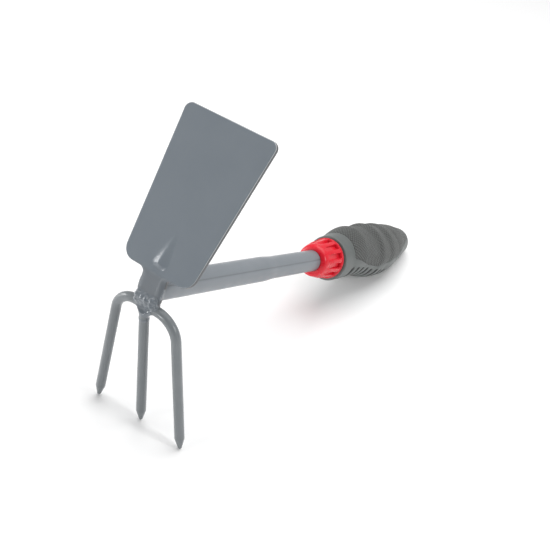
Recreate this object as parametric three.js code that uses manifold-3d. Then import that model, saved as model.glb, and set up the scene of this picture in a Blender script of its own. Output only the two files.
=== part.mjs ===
// Hand grub hoe: a pressed hoe blade on one side of the head, a three-tine fork on the other,
// a stepped tube shaft and an overmoulded grip with a fluted collar.
//
// Every piece is drawn in the tool's own axes, in millimetres: Y runs along the shaft from the
// neck to the grip, Z points from the shaft towards the hoe blade, X is sideways. The finished
// tool is then laid down as it rests on a bench: on its three tine points and under the grip.

import * as THREE from 'three';
import { mergeVertices } from 'three/addons/utils/BufferGeometryUtils.js';
import Module from 'manifold-3d';

const wasm = await Module();
wasm.setup();

// ---- driving dimensions, millimetres and degrees ----

const GAP = 0.3; // clearance kept between neighbouring solids

const SHEET = 2.8; // blade and neck thickness
const NECK_FRONT_Y = 2.55; // front face of the upright neck
const NECK_FOOT_Z = -7.8; // lower end of the neck
const NECK_HALF_WIDTH = 8.6;
const BEND_Z = 8.9; // height where the blade bends back from the neck
const BEND_RADIUS = 8.0; // on the front face
const BLADE_LEAN = 15.95; // degrees back from upright
const BLADE_LENGTH = 92.9; // from the bend to the cutting edge
const EDGE_HALF_WIDTH = 32.35;
const SHOULDER_HALF_WIDTH = 24.55;
const SHOULDER_RADIUS = 8.5;
const EDGE_CORNER_RADIUS = 4.5;
const NECK_FILLET_RADIUS = 2.5;

const RIB_START = 4.5; // along the blade from the bend
const RIB_LENGTH = 22.0;
const RIB_RADIUS = 5.2; // half width at its round end
const RIB_HEIGHT = 2.3;

const ROD_RADIUS = 3.0;
const CROSSBAR_Y = 6.1;
const CROSSBAR_Z = -11.3;
const FORK_LEAN = 20.6; // degrees, tine points towards the grip
const TINE_SPLAY = 7.94; // degrees, outer tines apart from the middle
const FORK_CORNER_X = 20.9; // where the cross bar and tine centre lines would meet
const FORK_BEND_RADIUS = 14.9;
const FORK_LENGTH = 87.6; // cross bar to outer tine points
const CENTRE_TINE_LEAN = 23.3;
const CENTRE_TINE_Y = 5.44; // top end, in front of the cross bar's middle
const CENTRE_TINE_Z = -15.22;
const POINT_LENGTH = 9.0;
const POINT_RADIUS = 1.0;

const NECK_WELD_RADIUS = 3.2;
const NECK_WELD_HALF_LENGTH = 6.2;
const NECK_WELD_LUMP_RADIUS = 3.6;
const NECK_WELD_Z = -6.8;
const NECK_WELD_BACK_Y = 4.6;
const REAR_WELD_RADIUS = 1.9;
const REAR_WELD_HALF_LENGTH = 4.5;
const REAR_WELD_LUMP_RADIUS = 2.1;
const REAR_WELD_OFFSET_Y = 3.4; // from the middle of the cross bar
const REAR_WELD_OFFSET_Z = 1.7;
const SHAFT_WELD_HEIGHT = 0.5; // above the tube at the neck
const SHAFT_WELD_LENGTH = 3.2;
const SHAFT_WELD_LOWEST_Z = -6.6; // the cross bar's weld takes over below this
const TINE_WELD_RADIUS = 4.5;
const TINE_WELD_START = -1.4; // along the centre tine from its top end
const TINE_WELD_END = 4.4;

const TUBE_RADIUS = 8.0;
const TUBE_REAR_RADIUS = 7.32;
const TUBE_WALL = 1.2;
const STEP_START_Y = 117.6;
const STEP_END_Y = 130.0;
const TUBE_END_Y = 288.0;

const COLLAR_FRONT_Y = 182.9;
const COLLAR_REAR_Y = 204.6;
const COLLAR_RADIUS = 14.33; // at the rear lip
const COLLAR_NOSE_RISE = 3.9;
const COLLAR_NOSE_LENGTH = 3.6;
const FLUTE_COUNT = 12;
const FLUTE_WIDTH = 3.4;
const FLUTE_FLOOR_RADIUS = 11.9;
const FLUTE_PHASE = 4.0; // degrees

const CORE_RADIUS = 11.0;
const SPIGOT_RADIUS = 10.3;
const CORE_FRONT_Y = 189.0;
const CORE_TAPER_Y = 289.0;
const CORE_END_Y = 311.0;
const CORE_END_RADIUS = 4.2;
const CORE_FIN_GROOVES = 8;

const GRIP_FRONT_Y = 205.6;
const GRIP_END_Y = 330.6;
const INSERT_DEPTH = 2.5;
const INSERT_FRONT_Y = 217.6;
const INSERT_FRONT_Z = 7.0; // where the insert's lower edge meets its front edge
const INSERT_REAR_Y = 316.0;
const INSERT_REAR_Z = 13.0;
const GROOVE_COUNT = 8;
const GROOVE_FIRST_Y = 218.6;
const GROOVE_PITCH = 7.45;
const GROOVE_WIDTH = 3.4;
const GROOVE_DEPTH = 1.5;
const GROOVE_TOP_FRONT_Z = -1.5; // where the first groove ends on the side of the grip
const GROOVE_TOP_REAR_Z = -8.5;

// ---- helpers ----

const X = new THREE.Vector3(1, 0, 0);
const Y = new THREE.Vector3(0, 1, 0);
const Z = new THREE.Vector3(0, 0, 1);
const rad = THREE.MathUtils.degToRad;

function solidOf(geometry) {
  const plain = geometry.clone();
  plain.deleteAttribute('normal');
  plain.deleteAttribute('uv');
  const merged = mergeVertices(plain, 1e-4);
  const vertProperties = new Float32Array(merged.attributes.position.array);
  const triVerts = new Uint32Array(merged.index.array);
  return new wasm.Manifold(new wasm.Mesh({ numProp: 3, vertProperties, triVerts }));
}

function geometryOf(solid) {
  const mesh = solid.getMesh();
  const geometry = new THREE.BufferGeometry();
  geometry.setAttribute('position', new THREE.BufferAttribute(mesh.vertProperties, 3));
  geometry.setIndex(new THREE.BufferAttribute(mesh.triVerts, 1));
  geometry.computeVertexNormals();
  return geometry;
}

// A box from its lowest to its highest corner.
function box(low, high) {
  const geometry = new THREE.BoxGeometry(high[0] - low[0], high[1] - low[1], high[2] - low[2]);
  return geometry.translate((low[0] + high[0]) / 2, (low[1] + high[1]) / 2, (low[2] + high[2]) / 2);
}

// A closed outline with each corner rounded: corners are [a, b, radius].
function roundedShape(corners) {
  const shape = new THREE.Shape();
  corners.forEach(([a, b, radius], index) => {
    const before = corners[(index + corners.length - 1) % corners.length];
    const after = corners[(index + 1) % corners.length];
    const here = new THREE.Vector2(a, b);
    const inward = new THREE.Vector2(before[0], before[1]).sub(here).normalize();
    const outward = new THREE.Vector2(after[0], after[1]).sub(here).normalize();
    const halfAngle = Math.acos(inward.dot(outward)) / 2;
    const start = inward.clone().multiplyScalar(radius / Math.tan(halfAngle)).add(here);
    const end = outward.clone().multiplyScalar(radius / Math.tan(halfAngle)).add(here);
    const centre = inward.clone().add(outward).normalize();
    centre.multiplyScalar(radius / Math.sin(halfAngle)).add(here);
    const clockwise = inward.cross(outward) > 0;
    const startAngle = Math.atan2(start.y - centre.y, start.x - centre.x);
    const endAngle = Math.atan2(end.y - centre.y, end.x - centre.x);
    if (index === 0) shape.moveTo(start.x, start.y);
    else shape.lineTo(start.x, start.y);
    shape.absarc(centre.x, centre.y, radius, startAngle, endAngle, clockwise);
  });
  shape.closePath();
  return shape;
}

// An outline drawn in the Y-Z plane, extruded sideways by the same amount each way.
function sideways(shape, halfWidth, curveSegments) {
  const settings = { depth: 2 * halfWidth, bevelEnabled: false, curveSegments };
  const geometry = new THREE.ExtrudeGeometry(shape, settings);
  geometry.translate(0, 0, -halfWidth);
  return geometry.applyMatrix4(new THREE.Matrix4().makeBasis(Y, Z, X));
}

function lathe(points, segments) {
  return new THREE.LatheGeometry(points.map(([r, y]) => new THREE.Vector2(r, y)), segments);
}

function meshOf(name, geometry, color, roughness, metalness) {
  const mesh = new THREE.Mesh(geometry, new THREE.MeshStandardMaterial({ color, roughness, metalness }));
  mesh.name = name;
  return mesh;
}

// ---- hoe blade ----

// The blade's own axes at the bend: X sideways, along the blade, out of its front face.
const leanAngle = rad(BLADE_LEAN);
const bladeAlong = new THREE.Vector3(0, Math.sin(leanAngle), Math.cos(leanAngle));
const bladeOut = new THREE.Vector3().crossVectors(X, bladeAlong);
const bladeFrame = new THREE.Matrix4().makeBasis(X, bladeAlong, bladeOut);
bladeFrame.setPosition(0, NECK_FRONT_Y, BEND_Z);

// The bent sheet seen from the side: upright neck, bend, leaning blade.
function bladeSideShape() {
  const tangent = BEND_RADIUS * Math.tan(leanAngle / 2);
  const centreY = NECK_FRONT_Y + BEND_RADIUS;
  const centreZ = BEND_Z - tangent;
  const backStep = new THREE.Vector2(Math.cos(leanAngle), -Math.sin(leanAngle)).multiplyScalar(SHEET);
  const topY = NECK_FRONT_Y + BLADE_LENGTH * Math.sin(leanAngle);
  const topZ = BEND_Z + BLADE_LENGTH * Math.cos(leanAngle);
  const shape = new THREE.Shape();
  shape.moveTo(NECK_FRONT_Y + SHEET, NECK_FOOT_Z);
  shape.lineTo(NECK_FRONT_Y + SHEET, centreZ);
  shape.absarc(centreY, centreZ, BEND_RADIUS - SHEET, Math.PI, Math.PI - leanAngle, true);
  shape.lineTo(topY + backStep.x, topZ + backStep.y);
  shape.lineTo(topY, topZ);
  shape.absarc(centreY, centreZ, BEND_RADIUS, Math.PI - leanAngle, Math.PI, false);
  shape.lineTo(NECK_FRONT_Y, NECK_FOOT_Z);
  shape.closePath();
  return shape;
}

// The sheet's outline seen square to the blade.
function bladeFrontShape() {
  const below = NECK_FOOT_Z - BEND_Z - 6;
  const right = [
    [NECK_HALF_WIDTH - 0.5, below, 0.2],
    [NECK_HALF_WIDTH, 0.2, NECK_FILLET_RADIUS],
    [SHOULDER_HALF_WIDTH, 0.2, SHOULDER_RADIUS],
    [EDGE_HALF_WIDTH, BLADE_LENGTH, EDGE_CORNER_RADIUS],
  ];
  const left = right.map(([a, b, radius]) => [-a, b, radius]).reverse();
  return roundedShape([...right, ...left]);
}

// A teardrop: round at the neck end, running out to a point up the blade.
function ribSolid(depthOffset) {
  const taper = Math.acos(RIB_RADIUS / (RIB_LENGTH - RIB_RADIUS));
  const points = [];
  const steps = 8;
  for (let i = 0; i <= steps; i += 1) {
    const angle = -Math.PI / 2 + (i / steps) * (Math.PI / 2 + Math.PI / 2 - taper);
    points.push([RIB_RADIUS * Math.cos(angle), RIB_START + RIB_RADIUS * (1 + Math.sin(angle))]);
  }
  points[0][0] = 0;
  points.push([0, RIB_START + RIB_LENGTH]);
  const geometry = lathe(points, 24);
  geometry.scale(1, 1, RIB_HEIGHT / RIB_RADIUS);
  geometry.translate(0, 0, depthOffset);
  return solidOf(geometry.applyMatrix4(bladeFrame));
}

function hoeBlade() {
  const strip = solidOf(sideways(bladeSideShape(), EDGE_HALF_WIDTH + 5, 5));
  const reach = 40;
  const outline = new THREE.ExtrudeGeometry(bladeFrontShape(), {
    depth: 2 * reach,
    bevelEnabled: false,
    curveSegments: 7,
  });
  outline.translate(0, 0, -reach);
  const sheet = strip.intersect(solidOf(outline.applyMatrix4(bladeFrame)));
  return geometryOf(sheet.add(ribSolid(0)).subtract(ribSolid(-SHEET)));
}

// ---- fork ----

const forkDown = new THREE.Vector3(0, Math.sin(rad(FORK_LEAN)), -Math.cos(rad(FORK_LEAN)));
const crossbarCentre = new THREE.Vector3(0, CROSSBAR_Y, CROSSBAR_Z);

function forkPoint(sideX, down) {
  return crossbarCentre.clone().addScaledVector(X, sideX).addScaledVector(forkDown, down);
}

const outerTipX = FORK_CORNER_X + FORK_LENGTH * Math.tan(rad(TINE_SPLAY));
const outerTips = [forkPoint(-outerTipX, FORK_LENGTH), forkPoint(outerTipX, FORK_LENGTH)];

// Centre line of the bent rod, from one point over the cross bar to the other.
function forkCurve() {
  const turn = Math.PI / 2 - rad(TINE_SPLAY);
  const trim = FORK_BEND_RADIUS * Math.tan(turn / 2);
  const path = new THREE.Path();
  path.moveTo(-outerTipX, FORK_LENGTH);
  const bendX = FORK_CORNER_X - trim;
  path.lineTo(-bendX - FORK_BEND_RADIUS * Math.sin(turn), FORK_BEND_RADIUS * (1 - Math.cos(turn)));
  path.absarc(-bendX, FORK_BEND_RADIUS, FORK_BEND_RADIUS, -Math.PI / 2 - turn, -Math.PI / 2, false);
  path.lineTo(bendX, 0);
  path.absarc(bendX, FORK_BEND_RADIUS, FORK_BEND_RADIUS, -Math.PI / 2, -Math.PI / 2 + turn, false);
  path.lineTo(outerTipX, FORK_LENGTH);
  const points = path.getSpacedPoints(96).map((point) => forkPoint(point.x, point.y));
  return new THREE.CatmullRomCurve3(points, false, 'centripetal');
}

// Draws the last stretch of a rod in to a blunt point.
function sharpen(geometry, tip, direction) {
  const position = geometry.attributes.position;
  const vertex = new THREE.Vector3();
  const axisPoint = new THREE.Vector3();
  for (let i = 0; i < position.count; i += 1) {
    vertex.fromBufferAttribute(position, i).sub(tip);
    const along = vertex.dot(direction);
    const nearTip = vertex.length() < POINT_LENGTH + 2 * ROD_RADIUS;
    if (nearTip && along > -POINT_LENGTH) {
      axisPoint.copy(direction).multiplyScalar(along);
      const share = (along + POINT_LENGTH) / POINT_LENGTH;
      const factor = THREE.MathUtils.lerp(1, POINT_RADIUS / ROD_RADIUS, share);
      vertex.sub(axisPoint).multiplyScalar(factor).add(axisPoint).add(tip);
      position.setXYZ(i, vertex.x, vertex.y, vertex.z);
    }
  }
  return geometry;
}

function outerTines() {
  const section = new THREE.Shape();
  section.absarc(0, 0, ROD_RADIUS, 0, 2 * Math.PI, false);
  const geometry = new THREE.ExtrudeGeometry(section, {
    steps: 60,
    curveSegments: 8,
    bevelEnabled: false,
    extrudePath: forkCurve(),
  });
  for (const tip of outerTips) {
    const splay = Math.sign(tip.x) * Math.sin(rad(TINE_SPLAY));
    const direction = forkDown.clone().multiplyScalar(Math.cos(rad(TINE_SPLAY))).addScaledVector(X, splay);
    sharpen(geometry, tip, direction);
  }
  return geometry;
}

// A straight rod standing on a point, turned down the fork by the lean of the centre tine.
const centreDown = new THREE.Vector3(0, Math.sin(rad(CENTRE_TINE_LEAN)), -Math.cos(rad(CENTRE_TINE_LEAN)));
const centreStart = new THREE.Vector3(0, CENTRE_TINE_Y, CENTRE_TINE_Z);

function alongCentreTine(geometry) {
  const sideAxis = new THREE.Vector3().crossVectors(X, centreDown);
  const frame = new THREE.Matrix4().makeBasis(X, centreDown, sideAxis);
  return geometry.applyMatrix4(frame.setPosition(centreStart));
}

function centreTine(length) {
  const profile = [
    [0, 0],
    [ROD_RADIUS, 0],
    [ROD_RADIUS, length - POINT_LENGTH],
    [POINT_RADIUS, length],
    [0, length],
  ];
  return alongCentreTine(lathe(profile, 28));
}

// ---- welds ----

// The cross bar with clearance all round, for cutting weld beads to it.
function crossbarCutter() {
  const bar = new THREE.CylinderGeometry(ROD_RADIUS + GAP, ROD_RADIUS + GAP, 60, 32);
  bar.rotateZ(Math.PI / 2);
  return solidOf(bar.translate(0, CROSSBAR_Y, CROSSBAR_Z));
}

function shaftCutter() {
  const bar = new THREE.CylinderGeometry(TUBE_RADIUS + GAP, TUBE_RADIUS + GAP, 80, 48);
  return solidOf(bar.translate(0, 40, 0));
}

// A bead laid along X: a long capsule with a round lump at each end.
function bead(radius, halfLength, lumpRadius, centreY, centreZ) {
  const run = new THREE.CapsuleGeometry(radius, 2 * halfLength, 4, 14);
  run.rotateZ(Math.PI / 2);
  let solid = solidOf(run);
  for (const side of [-1, 1]) {
    const lump = new THREE.SphereGeometry(lumpRadius, 14, 10);
    solid = solid.add(solidOf(lump.translate(side * halfLength, 0, 0)));
  }
  return solid.translate([0, centreY, centreZ]);
}

function neckWeld() {
  const front = NECK_FRONT_Y - GAP;
  const neckCutter = solidOf(box([-20, front, NECK_FOOT_Z - GAP], [20, 30, 30]));
  const behind = solidOf(box([-20, NECK_WELD_BACK_Y, -30], [20, 30, 30]));
  const solid = bead(NECK_WELD_RADIUS, NECK_WELD_HALF_LENGTH, NECK_WELD_LUMP_RADIUS, front, NECK_WELD_Z);
  return geometryOf(solid.subtract(neckCutter).subtract(behind).subtract(crossbarCutter()));
}

function crossbarWeld() {
  const centreY = CROSSBAR_Y + REAR_WELD_OFFSET_Y;
  const centreZ = CROSSBAR_Z + REAR_WELD_OFFSET_Z;
  const solid = bead(REAR_WELD_RADIUS, REAR_WELD_HALF_LENGTH, REAR_WELD_LUMP_RADIUS, centreY, centreZ);
  return geometryOf(solid.subtract(crossbarCutter()).subtract(shaftCutter()));
}

function shaftWeld() {
  const start = NECK_FRONT_Y + SHEET + GAP;
  const inner = TUBE_RADIUS + GAP;
  const ring = lathe([
    [inner, start],
    [inner + SHAFT_WELD_HEIGHT, start],
    [inner + 0.8 * SHAFT_WELD_HEIGHT, start + 0.5 * SHAFT_WELD_LENGTH],
    [inner + 0.35 * SHAFT_WELD_HEIGHT, start + 0.85 * SHAFT_WELD_LENGTH],
    [inner, start + SHAFT_WELD_LENGTH],
    [inner, start],
  ], 36);
  const underside = solidOf(box([-20, start - 1, -30], [20, 30, SHAFT_WELD_LOWEST_Z]));
  return geometryOf(solidOf(ring).subtract(underside));
}

function centreTineWeld() {
  const inner = ROD_RADIUS + GAP;
  const rise = TINE_WELD_RADIUS - inner;
  const length = TINE_WELD_END - TINE_WELD_START;
  const profile = [
    [inner, TINE_WELD_START],
    [TINE_WELD_RADIUS, TINE_WELD_START],
    [inner + 0.6 * rise, TINE_WELD_START + 0.4 * length],
    [inner + 0.25 * rise, TINE_WELD_START + 0.8 * length],
    [inner, TINE_WELD_END],
    [inner, TINE_WELD_START],
  ];
  const ring = solidOf(alongCentreTine(lathe(profile, 28)));
  return geometryOf(ring.subtract(crossbarCutter()));
}

// ---- shaft ----

function shaftTube() {
  const front = NECK_FRONT_Y + SHEET + GAP;
  const profile = [
    [TUBE_RADIUS - TUBE_WALL, front],
    [TUBE_RADIUS, front],
    [TUBE_RADIUS, STEP_START_Y],
    [TUBE_REAR_RADIUS, STEP_END_Y],
    [TUBE_REAR_RADIUS, TUBE_END_Y],
    [TUBE_REAR_RADIUS - TUBE_WALL, TUBE_END_Y],
    [TUBE_REAR_RADIUS - TUBE_WALL, STEP_END_Y],
    [TUBE_RADIUS - TUBE_WALL, STEP_START_Y],
    [TUBE_RADIUS - TUBE_WALL, front],
  ];
  return lathe(profile, 40);
}

// ---- grip ----

function gripCollar() {
  const bore = TUBE_REAR_RADIUS + GAP;
  const cavity = SPIGOT_RADIUS + GAP;
  const profile = [[bore, COLLAR_FRONT_Y]];
  const steps = 5;
  for (let i = 1; i <= steps; i += 1) {
    const angle = (i / steps) * (Math.PI / 2);
    const noseY = COLLAR_FRONT_Y + COLLAR_NOSE_LENGTH * (1 - Math.cos(angle));
    profile.push([bore + COLLAR_NOSE_RISE * Math.sin(angle), noseY]);
  }
  profile.push([12.9, COLLAR_FRONT_Y + 9.5]);
  profile.push([13.8, COLLAR_REAR_Y - 4.0]);
  profile.push([13.9, COLLAR_REAR_Y - 1.5]);
  profile.push([COLLAR_RADIUS, COLLAR_REAR_Y - 1.2]);
  profile.push([COLLAR_RADIUS, COLLAR_REAR_Y]);
  profile.push([cavity, COLLAR_REAR_Y]);
  profile.push([cavity, CORE_FRONT_Y - GAP]);
  profile.push([bore, CORE_FRONT_Y - GAP]);
  profile.push([bore, COLLAR_FRONT_Y]);
  let solid = solidOf(lathe(profile, 36));
  const floorLow = COLLAR_FRONT_Y + 3.0;
  const floorHigh = COLLAR_REAR_Y - 1.9;
  for (let i = 0; i < FLUTE_COUNT; i += 1) {
    const flute = box([-FLUTE_WIDTH / 2, floorLow, FLUTE_FLOOR_RADIUS], [FLUTE_WIDTH / 2, floorHigh, 20]);
    flute.rotateY(rad(90 - FLUTE_PHASE) - (i * 2 * Math.PI) / FLUTE_COUNT);
    solid = solid.subtract(solidOf(flute));
  }
  return geometryOf(solid);
}

function gripCore() {
  const bore = TUBE_REAR_RADIUS + GAP;
  const profile = [
    [bore, CORE_FRONT_Y],
    [SPIGOT_RADIUS, CORE_FRONT_Y],
    [SPIGOT_RADIUS, GRIP_FRONT_Y + 1.2],
    [CORE_RADIUS, GRIP_FRONT_Y + 1.2],
    [CORE_RADIUS, CORE_TAPER_Y],
    [CORE_END_RADIUS, CORE_END_Y],
    [0, CORE_END_Y],
    [0, TUBE_END_Y + GAP],
    [bore, TUBE_END_Y + GAP],
    [bore, CORE_FRONT_Y],
  ];
  let solid = solidOf(lathe(profile, 36));
  for (let i = 0; i < CORE_FIN_GROOVES; i += 1) {
    const groove = box([-2, GRIP_FRONT_Y + 8, CORE_RADIUS - 2], [2, CORE_TAPER_Y - 6, CORE_RADIUS + 2]);
    groove.rotateY((i * 2 * Math.PI) / CORE_FIN_GROOVES);
    solid = solid.subtract(solidOf(groove));
  }
  return geometryOf(solid);
}

// The grip's top and bottom lines seen from the side: [distance along the shaft, height].
const gripTop = new THREE.SplineCurve([
  [GRIP_FRONT_Y, 15.6], [210, 16.1], [216, 17.05], [222, 19.4], [227, 20.9], [231, 21.6], [235, 21.3],
  [243, 20.95], [249, 20.75], [252.5, 21.1], [256, 22.1], [259.5, 21.8], [263, 21.2], [269, 20.6],
  [274.5, 21.15], [278, 20.9], [283, 20.3], [288, 20.05], [293, 19.45], [298, 19], [303, 17.9], [308, 17],
  [313, 16], [317.5, 15.1], [321.5, 12.9], [325.5, 10.6], [328.5, 8.5], [GRIP_END_Y, 6.9],
].map(([y, z]) => new THREE.Vector2(y, z)));

const gripBottom = new THREE.SplineCurve([
  [GRIP_FRONT_Y, -16.1], [213, -15.9], [221, -15.2], [229, -14.7], [237, -15.1], [246, -16.5], [257, -18.2],
  [265, -18.75], [274, -18.3], [285, -16.5], [293, -13.7], [309, -8.4], [320, -5.2], [GRIP_END_Y, -2.6],
].map(([y, z]) => new THREE.Vector2(y, z)));

// Height of one of those lines at a distance along the shaft, by halving.
function heightAt(curve, y) {
  let low = 0;
  let high = 1;
  for (let i = 0; i < 30; i += 1) {
    const middle = (low + high) / 2;
    if (curve.getPoint(middle).x < y) low = middle;
    else high = middle;
  }
  return curve.getPoint((low + high) / 2).y;
}

function gripRadius(y) {
  return (heightAt(gripTop, y) - heightAt(gripBottom, y)) / 2;
}

function gripCentre(y) {
  return (heightAt(gripTop, y) + heightAt(gripBottom, y)) / 2;
}

// The grip's outer form, or the same form set in by a depth. Its sections are round, each about
// its own centre, so it is a turned body with every ring moved up or down.
function gripForm(depth) {
  const stations = 28;
  const edge = 0.8;
  const frontY = GRIP_FRONT_Y + depth;
  const profile = [[0, frontY], [gripRadius(GRIP_FRONT_Y) - edge - depth, frontY]];
  for (let i = 0; i <= stations; i += 1) {
    const y = THREE.MathUtils.lerp(frontY + edge, GRIP_END_Y - edge - depth, i / stations);
    profile.push([gripRadius(y) - depth, y]);
  }
  profile.push([gripRadius(GRIP_END_Y) - 2 * edge - depth, GRIP_END_Y - depth], [0, GRIP_END_Y - depth]);
  const geometry = lathe(profile, 30);
  const position = geometry.attributes.position;
  for (let i = 0; i < position.count; i += 1) {
    position.setZ(i, position.getZ(i) + gripCentre(position.getY(i)));
  }
  return solidOf(geometry);
}

// Everything above the insert's edge, seen from the side, grown by a margin.
function insertRegion(margin) {
  const edge = new THREE.SplineCurve([
    [INSERT_FRONT_Y + 2.5, 4.9], [228, 3.8], [237, 0.6], [250, -1.3], [262, -0.4], [277, 2.4], [290, 3.8],
    [297, 7.6], [307, 11.0], [INSERT_REAR_Y, INSERT_REAR_Z],
  ].map(([y, z]) => new THREE.Vector2(y, z)));
  const shape = new THREE.Shape();
  shape.moveTo(INSERT_REAR_Y + margin, 40);
  shape.lineTo(INSERT_FRONT_Y - margin, 40);
  shape.lineTo(INSERT_FRONT_Y - margin, INSERT_FRONT_Z - margin);
  for (const point of edge.getPoints(26)) shape.lineTo(point.x, point.y - margin);
  shape.lineTo(INSERT_REAR_Y + margin, INSERT_REAR_Z - margin);
  shape.closePath();
  return solidOf(sideways(shape, 30, 1));
}

function gripInsert() {
  const skin = gripForm(0).intersect(insertRegion(0));
  return geometryOf(skin.subtract(gripForm(INSERT_DEPTH)));
}

// One finger groove: a ring cut into the underside, ending part way up each side.
function grooveCutter(index) {
  const centreY = GROOVE_FIRST_Y + index * GROOVE_PITCH;
  const floor = gripRadius(centreY) - GROOVE_DEPTH;
  const low = centreY - GROOVE_WIDTH / 2;
  const high = centreY + GROOVE_WIDTH / 2;
  const ring = lathe([[floor, low + 0.5], [floor + 4, low], [floor + 4, high], [floor, high - 0.5],
    [floor, low + 0.5]], 28);
  ring.translate(0, 0, gripCentre(centreY));
  const share = index / (GROOVE_COUNT - 1);
  const top = THREE.MathUtils.lerp(GROOVE_TOP_FRONT_Z, GROOVE_TOP_REAR_Z, Math.sqrt(share));
  return solidOf(ring).intersect(solidOf(box([-30, low - 1, -40], [30, high + 1, top])));
}

function gripShell() {
  const bore = [
    [0, GRIP_FRONT_Y - 2],
    [SPIGOT_RADIUS + GAP, GRIP_FRONT_Y - 2],
    [SPIGOT_RADIUS + GAP, GRIP_FRONT_Y + 0.9],
    [CORE_RADIUS + GAP, GRIP_FRONT_Y + 0.9],
    [CORE_RADIUS + GAP, CORE_TAPER_Y + 0.1],
    [CORE_END_RADIUS + GAP, CORE_END_Y + GAP],
    [0, CORE_END_Y + GAP],
  ];
  const recess = insertRegion(GAP).subtract(gripForm(INSERT_DEPTH + GAP));
  let solid = gripForm(0).subtract(recess).subtract(solidOf(lathe(bore, 36)));
  for (let i = 0; i < GROOVE_COUNT; i += 1) solid = solid.subtract(grooveCutter(i));
  return geometryOf(solid);
}

// ---- resting position ----

// The angle by which the handle dips when the tine points and the grip touch a flat surface.
function restingAngle(tip, gripGeometry) {
  const position = gripGeometry.attributes.position;
  let angle = Math.PI / 2;
  for (let i = 0; i < position.count; i += 1) {
    angle = Math.min(angle, Math.atan2(position.getZ(i) - tip.z, position.getY(i) - tip.y));
  }
  return angle;
}

const shellGeometry = gripShell();
const dip = restingAngle(outerTips[0], shellGeometry);

// The centre tine is just long enough to stand on the same surface as the outer points.
const heightOf = (point) => point.z * Math.cos(dip) - point.y * Math.sin(dip);
const centreTineLength = (heightOf(outerTips[0]) - heightOf(centreStart)) / heightOf(centreDown);

// ---- assembly ----

const STEEL = 0x8b9096;
const ROD_STEEL = 0x7f8488;
const PALE_STEEL = 0xa6a9ad;
const RED = 0xd8323f;
const GREY = 0x7c8080;
const DARK_GREY = 0x686a66;
const BLACK = 0x2b2d2e;

const tool = new THREE.Group();
tool.add(
  meshOf('hoe_blade', hoeBlade(), STEEL, 0.45, 0.6),
  meshOf('outer_tines', outerTines(), ROD_STEEL, 0.4, 0.6),
  meshOf('centre_tine', centreTine(centreTineLength), ROD_STEEL, 0.4, 0.6),
  meshOf('neck_weld', neckWeld(), STEEL, 0.3, 0.6),
  meshOf('centre_tine_weld', centreTineWeld(), ROD_STEEL, 0.35, 0.6),
  meshOf('shaft_weld', shaftWeld(), STEEL, 0.35, 0.6),
  meshOf('crossbar_weld', crossbarWeld(), STEEL, 0.35, 0.6),
  meshOf('shaft_tube', shaftTube(), PALE_STEEL, 0.4, 0.5),
  meshOf('grip_collar', gripCollar(), RED, 0.35, 0.0),
  meshOf('grip_core', gripCore(), BLACK, 0.6, 0.0),
  meshOf('grip_shell', shellGeometry, GREY, 0.6, 0.0),
  meshOf('grip_insert', gripInsert(), DARK_GREY, 0.8, 0.0),
);
tool.rotation.x = -dip;

// The origin is under the middle of the tool, on the surface it rests on.
const extent = new THREE.Box3().setFromObject(tool, true);
tool.position.set(0, -(extent.min.y + extent.max.y) / 2, -extent.min.z);

const grubHoe = new THREE.Group();
grubHoe.add(tool);

export default grubHoe;
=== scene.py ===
import math

import bmesh
import bpy
import numpy as np
from mathutils import Matrix, Vector, noise
from mathutils.geometry import delaunay_2d_cdt


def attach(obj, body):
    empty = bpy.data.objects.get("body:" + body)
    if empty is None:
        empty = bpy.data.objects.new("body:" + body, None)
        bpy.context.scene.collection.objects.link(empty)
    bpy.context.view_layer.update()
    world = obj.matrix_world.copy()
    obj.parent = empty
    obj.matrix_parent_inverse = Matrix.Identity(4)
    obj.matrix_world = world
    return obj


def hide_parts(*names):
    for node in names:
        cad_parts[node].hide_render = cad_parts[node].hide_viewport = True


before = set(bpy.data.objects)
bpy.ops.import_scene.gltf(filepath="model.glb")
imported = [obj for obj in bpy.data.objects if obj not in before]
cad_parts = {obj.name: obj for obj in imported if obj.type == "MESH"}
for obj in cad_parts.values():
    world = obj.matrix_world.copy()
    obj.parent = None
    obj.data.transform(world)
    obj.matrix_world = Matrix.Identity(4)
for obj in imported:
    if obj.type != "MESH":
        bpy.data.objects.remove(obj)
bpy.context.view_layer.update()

# -------- dimensions, in millimetres
# Points are written in the tool's own axes: X sideways, Y along the shaft from the neck to the
# grip, Z from the shaft towards the blade. Where pieces meet, these are the CAD part's dimensions.

MM = 0.001
SIDEWAYS = np.array([1.0, 0.0, 0.0])
MERGE = 0.002  # points of a piece that lie closer than this become one

SHEET = 2.8  # thickness of the blade's steel
NECK_FRONT = 2.55
NECK_FOOT = -7.8
NECK_HALF = 8.6
BEND_Z = 8.9
BEND_RADIUS = 8.0
BLADE_LEAN = math.radians(15.95)
BLADE_LENGTH = 92.9
EDGE_HALF = 32.35
SHOULDER_HALF = 24.55

ROD_RADIUS = 3.0
CROSSBAR = np.array([0.0, 6.1, -11.3])
FORK_LEAN = math.radians(20.6)
TINE_SPLAY = math.radians(7.94)
FORK_CORNER = 20.9
FORK_BEND = 14.9
FORK_LENGTH = 87.6
CENTRE_START = np.array([0.0, 5.44, -15.22])
CENTRE_LEAN = math.radians(23.3)

TUBE_FRONT = 5.65
TUBE_RADIUS = 8.0
TUBE_REAR_RADIUS = 7.32
TUBE_WALL = 1.2
STEP_START = 117.6
STEP_END = 130.0
TUBE_END = 288.0

COLLAR_FRONT = 182.9
COLLAR_REAR = 204.6
COLLAR_RADIUS = 14.33

GRIP_FRONT = 205.6
GRIP_END = 330.6
CORE_CLEAR = 11.3  # bore round the grip core
SPIGOT_CLEAR = 10.6  # bore round the core's thinner front end


# -------- frames and meshes

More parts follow.
